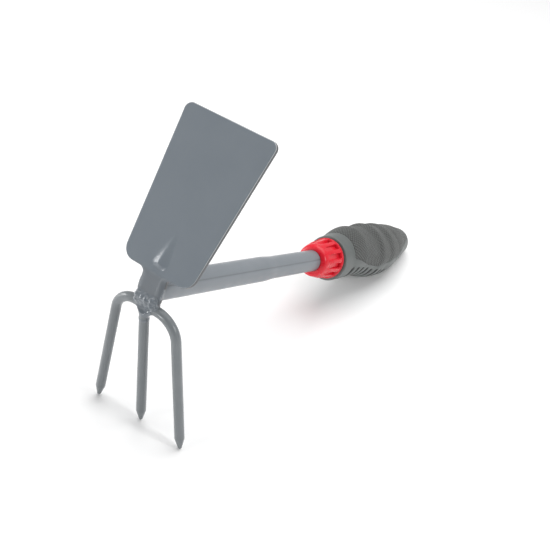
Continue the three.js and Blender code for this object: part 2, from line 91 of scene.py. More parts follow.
def tool_axes():
    """Origin, and the directions of the tool's Y and Z, in the row frame, from the tube's ends."""
    points = np.array([v.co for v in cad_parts["shaft_tube"].data.vertices])
    points = np.unique(np.round(points, 7), axis=0)
    along = np.linalg.svd(points - points.mean(0), full_matrices=False)[2][0]
    along = along * np.sign(along[1])
    stations = points @ along
    front = points[stations < stations.min() + 0.2 * MM].mean(0)
    return front - along * TUBE_FRONT * MM, along, np.cross(SIDEWAYS, along)


ORIGIN, ALONG, UP = tool_axes()
AXES = np.array([SIDEWAYS, ALONG, UP])


def to_row(points):
    """Points in the tool's axes, in millimetres, as points in the row frame, in metres."""
    return ORIGIN + np.asarray(points, float) @ AXES * MM


def unit(vectors):
    return vectors / np.linalg.norm(vectors, axis=-1, keepdims=True)


def smooth_step(value, low, high):
    share = np.clip((value - low) / (high - low), 0.0, 1.0)
    return share * share * (3.0 - 2.0 * share)


def ripple(points, scale, seed):
    """Seeded noise from -1 to 1 at each point, in features about 1 / scale millimetres across."""
    offset = Vector((seed, seed * 0.7, -seed))
    return np.array([noise.noise(Vector(p) * scale + offset) for p in points])


def add_piece(name, points, faces, material, stands_for, sharp, skin=None):
    """Makes one closed piece that stands for a CAD node. The skin is three values for each point,
    which its material reads."""
    mesh = bpy.data.meshes.new(name)
    mesh.from_pydata(to_row(points).tolist(), [], faces)
    if skin is not None:
        layer = mesh.attributes.new("skin", "FLOAT_VECTOR", "POINT")
        layer.data.foreach_set("vector", np.asarray(skin, np.float32).ravel())
    work = bmesh.new()
    work.from_mesh(mesh)
    bmesh.ops.remove_doubles(work, verts=work.verts, dist=MERGE * MM)
    bmesh.ops.recalc_face_normals(work, faces=work.faces)
    work.to_mesh(mesh)
    work.free()
    mesh.polygons.foreach_set("use_smooth", [True] * len(mesh.polygons))
    mesh.set_sharp_from_angle(angle=math.radians(sharp))
    mesh.materials.append(material)
    piece = bpy.data.objects.new(name, mesh)
    bpy.context.scene.collection.objects.link(piece)
    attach(piece, "root")
    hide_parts(stands_for)


def grid_faces(rows, columns):
    """Quads between rings of the same number of points, each ring closed on itself."""
    faces = []
    for i in range(rows - 1):
        for j in range(columns):
            k = (j + 1) % columns
            a, b = i * columns, (i + 1) * columns
            faces.append((a + j, a + k, b + k, b + j))
    return faces


def loft(rings, capped=True):
    """Points and faces of a skin over rings of equal length, with a fan at each end if capped."""
    count = len(rings[0])
    points = list(np.concatenate(rings))
    faces = grid_faces(len(rings), count)
    if capped:
        for row in (0, len(rings) - 1):
            points.append(rings[row].mean(0))
            centre, start = len(points) - 1, row * count
            faces += [(start + j, start + (j + 1) % count, centre) for j in range(count)]
    return points, faces


def even_angles(count):
    return np.linspace(0, 2 * math.pi, count, endpoint=False)


def spokes(angles):
    """Unit vectors square to the tool's Y axis, at angles round it from the top."""
    return np.stack([np.sin(angles), np.zeros_like(angles), np.cos(angles)], 1)


def swept(centres, radii, segments):
    """Rings square to a path, with no twist between them."""
    tangents = unit(np.gradient(centres, axis=0))
    side = np.cross(tangents[0], [0.3, 0.9, 0.2])
    cos, sin = np.cos(even_angles(segments)), np.sin(even_angles(segments))
    rings = []
    for centre, tangent, radius in zip(centres, tangents, radii):
        side = unit(side - tangent * (side @ tangent))
        other = np.cross(tangent, side)
        rings.append(centre + radius * (np.outer(cos, side) + np.outer(sin, other)))
    return rings


def surface_net(field, low, step):
    """A closed mesh where a field is zero: one point in each cell that the surface crosses."""
    inside = field < 0
    cells = tuple(n - 1 for n in field.shape)
    total, hits = np.zeros(cells + (3,)), np.zeros(cells)
    crossings = []
    for axis in range(3):
        near = [slice(None)] * 3
        far = [slice(None)] * 3
        near[axis], far[axis] = slice(0, -1), slice(1, None)
        near, far = tuple(near), tuple(far)
        crossed = inside[near] != inside[far]
        gap = np.where(crossed, field[near] - field[far], 1.0)
        grid = np.meshgrid(*[np.arange(n) for n in crossed.shape], indexing="ij")
        place = np.stack(grid, -1).astype(float)
        place[..., axis] += np.where(crossed, field[near] / gap, 0.0)
        others = [a for a in range(3) if a != axis]
        for first in (0, 1):
            for second in (0, 1):
                part = [slice(0, cells[a]) for a in range(3)]
                part[others[0]] = slice(first, first + cells[others[0]])
                part[others[1]] = slice(second, second + cells[others[1]])
                weight = crossed[tuple(part)]
                total += place[tuple(part)] * weight[..., None]
                hits += weight
        crossings.append((axis, others, crossed, inside[near]))
    used = hits > 0
    number = np.full(cells, -1)
    number[used] = np.arange(used.sum())
    points = low + total[used] / hits[used][:, None] * step
    faces = []
    for axis, others, crossed, starts_inside in crossings:
        for at in np.argwhere(crossed):
            if min(at[others[0]], at[others[1]]) < 1:
                continue
            corners = []
            for back, side in ((1, 1), (0, 1), (0, 0), (1, 0)):
                cell = at.copy()
                cell[others[0]] -= back
                cell[others[1]] -= side
                corners.append(number[tuple(cell)])
            flip = starts_inside[tuple(at)] == (axis == 1)
            faces.append(tuple(corners[::-1] if flip else corners))
    return points, faces


def inside_loop(points, loop):
    """True for each 2-D point inside a closed loop."""
    x, y = points[:, :1], points[:, 1:]
    ax, ay = loop[:, 0], loop[:, 1]
    bx, by = np.roll(ax, -1), np.roll(ay, -1)
    with np.errstate(divide="ignore", invalid="ignore"):
        crossing = ((ay > y) != (by > y)) & (x < (bx - ax) * (y - ay) / (by - ay) + ax)
    return crossing.sum(1) % 2 == 1


def line_distance(points, line, closed):
    """Distance from each 2-D point to a polyline."""
    start = line if closed else line[:-1]
    step = (np.roll(line, -1, 0) if closed else line[1:]) - start
    reach = points[:, None] - start
    share = np.clip((reach * step).sum(2) / np.maximum((step * step).sum(1), 1e-12), 0, 1)
    return np.linalg.norm(reach - share[..., None] * step, axis=2).min(1)


def lengths_along(line):
    """Distance along a polyline to each of its points."""
    return np.concatenate([[0], np.cumsum(np.linalg.norm(np.diff(line, axis=0), axis=1))])


def resampled(line, spacing, closed):
    """The same polyline with even steps along it."""
    line = np.asarray(line, float)
    if closed:
        line = np.vstack([line, line[:1]])
    lengths = lengths_along(line)
    count = round(lengths[-1] / spacing)
    marks = np.linspace(0, lengths[-1], count + 1)
    even = np.stack([np.interp(marks, lengths, line[:, a]) for a in (0, 1)], 1)
    return even[:-1] if closed else even


def rounded_loop(corners, per_corner):
    """A closed loop of 2-D points with its corners rounded: corners are (a, b, radius)."""
    loop = []
    for i, (a, b, radius) in enumerate(corners):
        here = np.array([a, b])
        before = unit(np.array(corners[i - 1][:2]) - here)
        after = unit(np.array(corners[(i + 1) % len(corners)][:2]) - here)
        half = math.acos(np.clip(before @ after, -1, 1)) / 2
        centre = here + unit(before + after) * radius / math.sin(half)
        start = here + before * radius / math.tan(half) - centre
        end = here + after * radius / math.tan(half) - centre
        for share in np.linspace(0, 1, per_corner):
            loop.append(centre + unit(start * (1 - share) + end * share) * radius)
    return np.array(loop)


SLIVER = 1e-4  # the flat triangles along a straight border are smaller than this


def triangulated(points, edges, keep):
    """Delaunay triangles over 2-D points, with the given edges kept. keep picks by middle point."""
    coords, _, faces, source, _, _ = delaunay_2d_cdt([Vector(p) for p in points], edges, [], 0, 1e-7)
    index = [ids[0] for ids in source]
    flat = np.array([tuple(c) for c in coords])
    faces = np.array(faces)
    corner = flat[faces]
    area = np.abs(np.cross(corner[:, 1] - corner[:, 0], corner[:, 2] - corner[:, 0]))
    chosen = keep(corner.mean(1)) & (area > SLIVER)
    return [tuple(index[v] for v in face) for face in faces[chosen]]


# -------- materials

class Nodes:
    """A short way to write one material's nodes."""

    def __init__(self, name):
        self.material = bpy.data.materials.new(name)
        self.material.use_nodes = True
        self.tree = self.material.node_tree
        self.shader = self.tree.nodes["Principled BSDF"]
        self.where = self.add("ShaderNodeTexCoord").outputs["Object"]

    def add(self, kind, settings=(), **inputs):
        node = self.tree.nodes.new(kind)
        for key, value in dict(settings).items():
            setattr(node, key, value)
        for key, value in inputs.items():
            self.put(node, key, value)
        return node

    def put(self, node, key, value):
        """Links a socket, or sets its constant, on an input given by name or number."""
        socket = node.inputs[key]
        if isinstance(value, bpy.types.NodeSocket):
            self.tree.links.new(value, socket)
        else:
            socket.default_value = value

    def finish(self, colour, roughness, normal, constants):
        """Fills the shader's inputs and gives back the material."""
        self.put(self.shader, "Base Color", colour)
        self.put(self.shader, "Roughness", roughness)
        self.put(self.shader, "Normal", normal)
        for key, value in constants.items():
            self.shader.inputs[key].default_value = value
        return self.material

    def noise(self, scale, detail=3.0, rough=0.55):
        node = self.add("ShaderNodeTexNoise", Vector=self.where, Scale=scale, Detail=detail,
                        Roughness=rough)
        return node.outputs["Fac"]

    def pointiness(self):
        return self.add("ShaderNodeNewGeometry").outputs["Pointiness"]

    def skin(self):
        """X, Y and Z of the values that a piece carries at each of its points."""
        attribute = self.add("ShaderNodeAttribute", {"attribute_name": "skin"})
        return self.add("ShaderNodeSeparateXYZ", Vector=attribute.outputs["Vector"]).outputs

    def ranged(self, value, low, high, to_low, to_high):
        node = self.add("ShaderNodeMapRange", Value=value)
        for key, number in zip(("From Min", "From Max", "To Min", "To Max"), (low, high, to_low, to_high)):
            node.inputs[key].default_value = number
        return node.outputs["Result"]

    def blend(self, share, first, second):
        node = self.add("ShaderNodeMix", {"data_type": "RGBA"})
        for socket, value in ((0, share), (6, first), (7, second)):
            self.put(node, socket, value)
        return node.outputs[2]

    def drift(self, noise, first, second):
        """A slow change from one colour to the other."""
        return self.blend(self.ranged(noise, 0.35, 0.65, 0.0, 1.0), first, second)

    def uneven(self, scale, middle, below, above):
        """A value that wanders from below to above a middle one."""
        return self.ranged(self.noise(scale), 0.3, 0.7, middle - below, middle + above)

    def math(self, kind, first, second=0.0):
        node = self.add("ShaderNodeMath", {"operation": kind})
        self.put(node, 0, first)
        self.put(node, 1, second)
        return node.outputs[0]

    def bump(self, height, strength, distance, under=None):
        node = self.add("ShaderNodeBump", Height=height, Strength=strength, Distance=distance)
        if under is not None:
            self.put(node, "Normal", under)
        return node.outputs["Normal"]


def grey(value, tint=(1.0, 1.0, 1.0)):
    return (value * tint[0], value * tint[1], value * tint[2], 1.0)


# colour of the painted highlight along the blade's rounded rim
PAINTED_RIM_HIGHLIGHT = grey(0.62)
# colour of the painted highlight on sharp edges
PAINTED_EDGE_HIGHLIGHT = grey(0.46)
# bluish tint of the painted shade
PAINTED_SHADE_TINT = (0.92, 1.0, 1.10)
# near-black painted shadow for the grip's finger grooves
PAINTED_GROOVE_SHADOW = grey(0.012)


def enamel(name, base, light, roughness, coat, polish, peel=0.10, edge_highlight=0.3):
    """Sprayed enamel on steel: a faint mottle, orange peel, and painted highlights on sharp edges. The
    skin's
    X says where a painted highlight runs along a rim, and its Z where painted shade lies."""
    n = Nodes(name)
    skin = n.skin()
    mottle = n.noise(38.0, 4.0, 0.6)
    specks = n.ranged(n.noise(420.0, 3.0, 0.6), 0.66, 0.74, 0.0, 0.08)
    # painted highlight along the rim, where the skin's X is set
    rim_highlight = n.math("MULTIPLY", skin["X"], n.ranged(mottle, 0.35, 0.6, 0.6, 1.0))
    # painted highlight on sharp edges, found from pointiness
    edges = n.ranged(n.pointiness(), 0.53, 0.62, 0.0, 1.0)
    edges = n.math("MULTIPLY", edges, n.ranged(mottle, 0.42, 0.6, 0.2, 1.0))
    colour = n.drift(mottle, base, light)
    colour = n.blend(specks, colour, grey(base[0] * 0.72))
    # painted shade, darker and bluer, where the skin's Z is set
    colour = n.blend(skin["Z"], colour, grey(base[0] * 0.35, PAINTED_SHADE_TINT))
    colour = n.blend(rim_highlight, colour, PAINTED_RIM_HIGHLIGHT)
    colour = n.blend(n.math("MULTIPLY", edges, edge_highlight), colour, PAINTED_EDGE_HIGHLIGHT)
    fine = n.bump(n.noise(330.0, 2.0, 0.5), peel, 0.0003)
    wavy = n.bump(n.noise(60.0, 2.0, 0.5), peel * 0.8, 0.001, fine)
    return n.finish(colour, n.uneven(90.0, roughness, 0.05, 0.07), wavy, {
        "Specular IOR Level": 0.25, "Coat Weight": coat, "Coat Roughness": polish})


def plastic(name, base, light, roughness, specular=0.5, grain=0.15):
    """Moulded plastic: fine spark-eroded grain, slight colour drift, painted shade in creases, and a
    near-black painted shadow where the skin's Z says that it is hollow."""
    n = Nodes(name)
    # painted shade in creases, found from pointiness
    crease_shade = n.ranged(n.pointiness(), 0.40, 0.48, 0.35, 0.0)
    # near-black painted shadow in the finger grooves
    groove_shadow = n.ranged(n.skin()["Z"], 0.06, 0.45, 0.0, 0.94)
    colour = n.drift(n.noise(55.0), base, light)
    colour = n.blend(crease_shade, colour, grey(0.5 * min(base[:3])))
    colour = n.blend(groove_shadow, colour, PAINTED_GROOVE_SHADOW)
    grained = n.bump(n.noise(900.0, 2.0, 0.6), grain, 0.0002)
    return n.finish(colour, n.uneven(160.0, roughness, 0.05, 0.06), grained, {
        "Specular IOR Level": specular})


def scaled_rubber(name, base, light, roughness, pitch):
    """Soft moulded rubber with a fine lozenge pattern, laid along the skin's X and Y, and painted shade
    in the pattern's grooves.
    """
    n = Nodes(name)
    skin = n.skin()
    wave = math.pi / pitch
    first = n.math("SINE", n.math("MULTIPLY", n.math("ADD", skin["X"], skin["Y"]), wave))
    second = n.math("SINE", n.math("MULTIPLY", n.math("SUBTRACT", skin["X"], skin["Y"]), wave))
    lozenge = n.math("ABSOLUTE", n.math("MULTIPLY", first, second))
    # painted shade in the lozenge's grooves
    grooves = n.ranged(lozenge, 0.0, 0.40, 0.75, 0.0)
    colour = n.drift(n.noise(45.0), base, light)
    colour = n.blend(grooves, colour, grey(0.45 * min(base[:3])))
    coarse = n.bump(n.math("POWER", lozenge, 0.5), 0.9, 0.0008)
    grained = n.bump(n.noise(1400.0, 2.0, 0.6), 0.2, 0.0001, coarse)
    return n.finish(colour, n.uneven(120.0, roughness, 0.04, 0.06), grained, {
        "Specular IOR Level": 0.4, "Sheen Weight": 0.06})


BLADE_PAINT = enamel("blade_enamel", (0.148, 0.172, 0.196, 1), (0.156, 0.180, 0.203, 1),
                     roughness=0.42, coat=0.6, polish=0.16)
ROD_PAINT = enamel("rod_enamel", (0.150, 0.166, 0.176, 1), (0.168, 0.184, 0.194, 1),
                   roughness=0.40, coat=0.7, polish=0.11)
WELD_PAINT = enamel("weld_enamel", (0.115, 0.135, 0.155, 1), (0.150, 0.170, 0.190, 1),
                    roughness=0.30, coat=1.0, polish=0.04, peel=0.2)
TUBE_PAINT = enamel("tube_enamel", (0.190, 0.210, 0.230, 1), (0.200, 0.220, 0.240, 1),
                    roughness=0.45, coat=0.4, polish=0.20, peel=0.08, edge_highlight=0.1)
COLLAR_RED = plastic("collar_red", (0.650, 0.008, 0.022, 1), (0.710, 0.014, 0.032, 1),
                     roughness=0.26, specular=0.4, grain=0.05)
SHELL_GREY = plastic("shell_grey", (0.110, 0.121, 0.118, 1), (0.124, 0.135, 0.132, 1), roughness=0.46)
INSERT_GREY = scaled_rubber("insert_rubber", (0.094, 0.100, 0.096, 1), (0.108, 0.114, 0.110, 1),
                            roughness=0.50, pitch=2.5)
CORE_BLACK = plastic("core_black", (0.018, 0.019, 0.020, 1), (0.024, 0.025, 0.026, 1), roughness=0.55)


# -------- hoe blade

FOOT_CORNER = 2.2
NECK_FILLET = 2.5
SHOULDER_RADIUS = 8.5
EDGE_CORNER = 4.5
NECK_BOW = 1.3  # how far the neck's sides curl back
PUCKER_HEIGHT = 0.25  # where the sheet is bent
WAVE_HEIGHT = 0.07  # of the sheet between its edges
EDGE_ROUND = 0.6
EDGE_LAND = 0.5  # flat strip of each face inside its rounded edge
SIDE_PAINTED_SHADE = 1.0  # painted shade on the sheet's sheared side, which faces away from the lamps
RIM_HIGHLIGHT = 0.65  # painted highlight along its rounded front edge
NECK_PAINTED_SHADE = 0.38  # painted shade on the neck, darkest towards the weld

RIB_START = 3.5
RIB_LENGTH = 22.4
RIB_RADIUS = 5.2
RIB_FOOT = 2.7
RIB_HEIGHT = 1.75
RIB_DRIFT = 1.1  # how far the rib's point lies off the middle
RIB_FALL = 1.35  # how the crest falls towards the point: 1 would be straight
RIB_LEFT = 1.6  # how deeply its left flank is scooped: 1 would be flat
RIB_RIGHT = 1.05
RIB_LIP = 0.07

OUTLINE_STEP = 0.75
FACE_STEP = 1.25
RIB_STEP = 0.55
ZONE_HALF = 6.6  # half width and ends of the finer mesh round the rib
ZONE_LOW = -2.0
ZONE_HIGH = 28.0
ZONE_GAP = 0.4
BORDER_GAP = 0.45


def bent(x, t, depth):
    """Places points of the flat sheet on the bent one: x sideways, t up the blade from the bend,
    depth back from the front face."""
    x, t, depth = (np.asarray(v, float) for v in (x, t, depth))
    tangent = BEND_RADIUS * math.tan(BLADE_LEAN / 2)
    share = np.clip((t + tangent) / (2 * tangent), 0, 1)
    turn = BLADE_LEAN * share
    before = np.minimum(t + tangent, 0)
    after = np.maximum(t - tangent, 0)
    y = NECK_FRONT + BEND_RADIUS * (1 - np.cos(turn)) + after * math.sin(BLADE_LEAN)
    z = BEND_Z - tangent + before + BEND_RADIUS * np.sin(turn) + after * math.cos(BLADE_LEAN)
    return np.stack([x, y + depth * np.cos(turn), z - depth * np.sin(turn)], 1)


def rib_height(x, t):
    """How far the pressed rib stands out of the sheet: a dart with a blunt foot, a crest, a scooped
    left flank and a flatter right one with a faint lip round its edge."""
    widest, top = RIB_START + RIB_RADIUS, RIB_START + RIB_LENGTH
    along = np.clip((t - widest) / (top - widest), 0, 1)
    x = x - RIB_DRIFT * along
    half = RIB_RADIUS * np.clip(1 - along, 1e-3, 1) ** 0.8
    below = np.clip((RIB_START + RIB_FOOT - t) / RIB_FOOT, 0, 1)
    soft = 0.3 + 0.5 * along
    crest = np.hypot(x, soft) - soft
    share = np.clip(np.hypot(crest / half, below ** 1.3), 0, 1)
    power = np.where(x < 0, RIB_LEFT, RIB_RIGHT)
    tall = np.clip((top - t) / (top - RIB_START - RIB_FOOT), 0, 1) ** RIB_FALL
    lip = RIB_LIP * smooth_step(x, 0.3, 1.2) * np.exp(-((share - 0.90) / 0.06) ** 2)
    return RIB_HEIGHT * tall * (1 - share) ** power + lip * smooth_step(tall, 0.0, 0.4)


def sheet_point(x, t, depth):
    """A point of the finished sheet, with the rib, the bowed neck, the pucker at the bend and slight
    waviness pressed in."""
    neck = smooth_step(-t, -0.5, 3.0)
    bow = NECK_BOW * neck * smooth_step(np.abs(x), NECK_HALF - 3.6, NECK_HALF + 1.2)
    pucker = PUCKER_HEIGHT * np.exp(-((x + 1.3 + 0.6 * t) / 1.9) ** 2 - ((t - 0.9) / 0.9) ** 2)
    flat = np.stack([x, t, np.zeros_like(x)], 1)
    wavy = WAVE_HEIGHT * ripple(flat, 0.045, 3.1) * smooth_step(t, 2.0, 12.0)
    return bent(x, t, depth - rib_height(x, t) + bow + wavy - pucker)


def blade_outline():
    """The flat sheet's outline, anticlockwise, as (sideways, up the blade from the bend)."""
    right = [
        (NECK_HALF - 0.3, NECK_FOOT - BEND_Z, FOOT_CORNER),
        (NECK_HALF, 0.2, NECK_FILLET),
        (SHOULDER_HALF, 0.2, SHOULDER_RADIUS),
        (EDGE_HALF, BLADE_LENGTH, EDGE_CORNER),
    ]
    left = [(-a, b, r) for a, b, r in reversed(right)]
    return resampled(rounded_loop(right + left, 15), OUTLINE_STEP, True)


def edge_rings():
    """(inset, depth) of each ring of points from the front face, round the edge, to the back."""
    bends = np.radians([0, 18, 36, 54, 72, 90])
    rings = [(EDGE_ROUND * (1 - math.sin(a)), EDGE_ROUND * (1 - math.cos(a))) for a in bends]
    rings.insert(0, (EDGE_ROUND + EDGE_LAND, 0.0))
    return rings + [(inset, SHEET - depth) for inset, depth in reversed(rings)]


def face_points(border):
    """Points spread inside the border, closer together round the rib."""
    across = np.arange(-EDGE_HALF, EDGE_HALF + FACE_STEP, FACE_STEP)
    up = np.arange(border[:, 1].min(), BLADE_LENGTH, FACE_STEP * 0.87)
    inner = np.array([(a + (i % 2) * FACE_STEP / 2, b) for i, b in enumerate(up) for a in across])
    beside = np.abs(inner[:, 0]) > ZONE_HALF + ZONE_GAP
    beyond = (inner[:, 1] > ZONE_HIGH + ZONE_GAP) | (inner[:, 1] < ZONE_LOW - ZONE_GAP)
    across = np.arange(-ZONE_HALF, ZONE_HALF + RIB_STEP / 2, RIB_STEP)
    zone = np.array([(a, b) for b in np.arange(ZONE_LOW, ZONE_HIGH, RIB_STEP) for a in across])
    inner = np.concatenate([inner[beside | beyond], zone])
    inner = inner[inside_loop(inner, border)]
    return inner[line_distance(inner, border, True) > BORDER_GAP]


def make_blade():
    outline = blade_outline()
    count = len(outline)
    run = unit(np.roll(outline, -1, 0) - np.roll(outline, 1, 0))
    outward = np.stack([run[:, 1], -run[:, 0]], 1)
    rings = edge_rings()
    insets, depths = (np.repeat(values, count) for values in zip(*rings))
    edge = np.tile(outline, (len(rings), 1)) - np.tile(outward, (len(rings), 1)) * insets[:, None]
    faces = grid_faces(len(rings), count)

    border = edge[:count]
    inner = face_points(border)
    edges = [(i, (i + 1) % count) for i in range(count)]
    face = np.concatenate([border, inner])
    triangles = triangulated(face, edges, lambda middle: inside_loop(middle, border))
    for back in (False, True):
        rim = (len(rings) - 1) * count if back else 0
        base = len(edge) + back * len(inner) - count
        faces += [tuple(v + (rim if v < count else base) for v in triangle) for triangle in triangles]

    flat = np.concatenate([edge, inner, inner])
    depth = np.concatenate([depths, np.repeat([0.0, SHEET], len(inner))])
    bare = EDGE_ROUND * 0.6
    # skin X: painted highlight along the blade's rounded front edge, above the neck
    edge_highlight = RIM_HIGHLIGHT * smooth_step(np.tile(outline[:, 1], len(rings)), 2.0, 8.0)
    # painted shade on the sheared sides of the sheet
    shade = SIDE_PAINTED_SHADE * ((bare < depth) & (depth < SHEET - bare))
    skin = np.zeros((len(flat), 3))
    skin[:len(edge), 0] = edge_highlight * ((0.1 < depths) & (depths < bare))
    # skin Z: the larger of the painted shade on the neck and on the sides
    skin[:, 2] = np.maximum(NECK_PAINTED_SHADE * smooth_step(-flat[:, 1], -2.0, 1.5), shade)
    points = sheet_point(flat[:, 0], flat[:, 1], depth)
    add_piece("blade_sheet", points, faces, BLADE_PAINT, "hoe_blade", 50.0, skin)


# -------- fork

POINT_LENGTH = 8.0
POINT_RADIUS = 1.0
POINT_ZONE = 10.0  # length at each pointed end that has its own stations
POINT_STATIONS = np.array([
    0.0, 0.03, 0.12, 0.28, 0.5, 0.75, 1.0, 1.5, 2.2, 3.0, 4.0, 5.0, 6.0, 7.0, 7.7, 7.95, 8.15, 8.6, 9.4])
ROD_STEP = 1.1
FORK_STEP = 0.8
ROD_SEGMENTS = 32
UNEVEN = 0.006  # how much the drawn rod's radius varies

FORK_DOWN = np.array([0.0, math.sin(FORK_LEAN), -math.cos(FORK_LEAN)])
CENTRE_DOWN = np.array([0.0, math.sin(CENTRE_LEAN), -math.cos(CENTRE_LEAN)])
TIP_X = FORK_CORNER + FORK_LENGTH * math.tan(TINE_SPLAY)


def fork_half():
    """One side of the bent rod's centre line, from the middle of the cross bar to the point."""
    turn = math.pi / 2 - TINE_SPLAY
    bend_x = FORK_CORNER - FORK_BEND * math.tan(turn / 2)
    line = [(0.0, 0.0), (bend_x, 0.0)]
    for share in np.linspace(0, 1, 40)[1:]:
        angle = turn * share
        line.append((bend_x + FORK_BEND * math.sin(angle), FORK_BEND * (1 - math.cos(angle))))
    line.append((TIP_X, FORK_LENGTH))
    return resampled(line, FORK_STEP, False)


def point_radius(distance):
    """The rod's radius at a distance back from its end: a drawn point with a blunt round tip."""
    share = np.clip(distance / POINT_LENGTH, 0, 1)
    cone = POINT_RADIUS + (ROD_RADIUS - POINT_RADIUS) * (1 - (1 - share) ** 1.04)
    tip = np.sqrt(np.clip(distance * (2 * POINT_RADIUS - distance), 0, None))
    return np.where(distance < POINT_RADIUS, np.minimum(tip, cone), cone)


def rod_points(line, seed, both_ends):
    """Refines a centre line near its sharp ends and gives the radius at each place."""
    steps = lengths_along(line)
    length = steps[-1]
    middle = np.arange(POINT_ZONE + 0.4 if both_ends else 0.0, length - POINT_ZONE, ROD_STEP)
    start = POINT_STATIONS if both_ends else []
    marks = np.concatenate([start, middle, (length - POINT_STATIONS)[::-1]])
    centres = np.stack([np.interp(marks, steps, line[:, a]) for a in range(3)], 1)
    radii = point_radius(length - marks)
    if both_ends:
        radii = np.minimum(radii, point_radius(marks))
    uneven = 1 + UNEVEN * ripple(centres, 0.12, seed)
    return centres, np.maximum(radii * uneven, 0.02)


def make_fork():
    half = fork_half()
    flat = np.concatenate([half[::-1] * [-1, 1], half[1:]])
    line = CROSSBAR + np.outer(flat[:, 0], SIDEWAYS) + np.outer(flat[:, 1], FORK_DOWN)
    points, faces = loft(swept(*rod_points(line, 1.7, True), ROD_SEGMENTS))
    add_piece("fork_rod", points, faces, ROD_PAINT, "outer_tines", 60.0)


def tine_length():
    """The centre tine stands on the same surface as the outer points: z is 0 there."""
    end = to_row([CROSSBAR + TIP_X * SIDEWAYS + FORK_LENGTH * FORK_DOWN])[0][2]
    top, unit = to_row([CENTRE_START, CENTRE_START + CENTRE_DOWN])[:, 2]
    return (end - top) / (unit - top)


def make_centre_tine():
    line = np.array([CENTRE_START - CENTRE_DOWN * 0.2, CENTRE_START + CENTRE_DOWN * tine_length()])
    points, faces = loft(swept(*rod_points(line, 4.4, False), ROD_SEGMENTS))
    add_piece("middle_tine", points, faces, ROD_PAINT, "centre_tine", 60.0)


# -------- welds

WELD_STEP = 0.28  # cell of the grid that a weld is meshed on
RIPPLE_REACH = 0.9  # ripples are worked out this near the surface, and die out over as much
HIDDEN = 0.12  # how far a weld's edge lies under the surface of what it joins
SHAFTWARD = np.array([0.0, 1.0, 0.0])
CENTRE = np.zeros(3)


def sphere(points, centre, radius):
    return np.linalg.norm(points - centre, axis=-1) - radius


def rod(points, start, direction, radius, low=-math.inf, high=math.inf):
    """Distance to a round bar, endless unless it is given a lowest and highest station."""
    reach = points - start
    station = np.clip(reach @ direction, low, high)
    return np.linalg.norm(reach - station[..., None] * direction, axis=-1) - radius


def soft_union(first, second, blend):
    share = np.clip(0.5 + 0.5 * (second - first) / blend, 0, 1)
    return second * (1 - share) + first * share - blend * share * (1 - share)


def neck_weld_shape(p):
    """Two passes along the neck's foot, over the cross bar."""
    x, y, z = np.moveaxis(p, -1, 0)
    bar = rod(p, CROSSBAR, SIDEWAYS, ROD_RADIUS - HIDDEN)
    neck = np.maximum(NECK_FRONT + HIDDEN - y, np.abs(x) - NECK_HALF + 1.2)
    pass_marks = 0.20 * np.sin(1.9 * x + 0.5 * z + 0.9 * np.sin(0.8 * x))
    upper = rod(p, (0, 2.2, -6.7), SIDEWAYS, 1.9, -5.4, 4.9)
    lower = rod(p, (0, 2.9, -8.6), SIDEWAYS, 1.9, -5.2, 4.9)
    field = soft_union(bar, np.maximum(neck, NECK_FOOT - z), 1.4)
    field = soft_union(field, soft_union(upper, lower, 1.0) + pass_marks, 3.0)
    reach = rod(p, (0, 2.8, -7.6), SIDEWAYS, 5.4, -4.6, 3.6)
    return np.maximum(np.maximum(field, reach), y - 5.0), np.minimum(bar, neck)


def tine_weld_shape(p):
    """A fillet round the top of the centre tine, with a thin toe on the tine."""
    station = (p - CENTRE_START) @ CENTRE_DOWN
    bar = rod(p, CROSSBAR, SIDEWAYS, ROD_RADIUS - HIDDEN)
    tine = np.maximum(rod(p, CENTRE_START, CENTRE_DOWN, ROD_RADIUS - HIDDEN), -station - 1.0)
    toe = np.maximum(rod(p, CENTRE_START, CENTRE_DOWN, ROD_RADIUS + 0.12), np.abs(station - 4.2) - 0.8)
    field = soft_union(soft_union(bar, tine, 5.2), toe, 0.5)
    reach = sphere(p, CENTRE_START - CENTRE_DOWN * 0.4, 6.4)
    return np.maximum(field, reach), np.minimum(bar, tine)


def rear_weld_shape(p):
    """A row of four beads behind the cross bar, under the shaft."""
    bar = rod(p, CROSSBAR, SIDEWAYS, ROD_RADIUS - HIDDEN)
    tube = np.maximum(rod(p, CENTRE, SHAFTWARD, TUBE_RADIUS - HIDDEN), TUBE_FRONT - p[..., 1])
    field = soft_union(bar, tube, 2.6)
    for x in (-4.2, -1.4, 1.5, 4.3):
        field = soft_union(field, sphere(p, (x, 9.2, -9.4), 1.8), 1.0)
    return np.maximum(field, rod(p, (0, 9.0, -9.4), SIDEWAYS, 3.1, -4.2, 4.2)), np.minimum(bar, tube)


def shaft_weld_shape(p):
    """A fillet between the shaft's end and the back of the neck."""
    x, y, z = np.moveaxis(p, -1, 0)
    tube = rod(p, CENTRE, SHAFTWARD, TUBE_RADIUS - HIDDEN)
    neck = np.maximum(y - NECK_FRONT - SHEET + HIDDEN, np.abs(x) - NECK_HALF + 0.3)
    neck = np.maximum(neck, NECK_FRONT + 1.0 - y)
    field = soft_union(tube, np.maximum(neck, z - 9.5), 2.6)
    field = np.maximum(field, rod(p, CENTRE, SHAFTWARD, TUBE_RADIUS + 1.1))
    return np.maximum(np.maximum(field, y - 9.2), -6.6 - z), np.minimum(tube, neck)


# Name, CAD node, lowest and highest corner of its grid, shape, height of its ripples, their seed.
WELDS = [
    ("neck_bead", "neck_weld", (-11.0, -2.4, -13.4), (11.5, 5.6, -2.0), neck_weld_shape, 0.6, 11.0),
    ("tine_bead", "centre_tine_weld", (-7.0, -0.8, -22.5), (7.0, 12.0, -9.5), tine_weld_shape, 0.07, 8.0),
    ("rear_bead", "crossbar_weld", (-8.2, 5.0, -13.4), (8.2, 13.5, -5.5), rear_weld_shape, 0.25, 2.5),
    ("shaft_bead", "shaft_weld", (-10.2, 3.4, -8.0), (10.2, 9.8, 10.6), shaft_weld_shape, 0.16, 6.5),
]


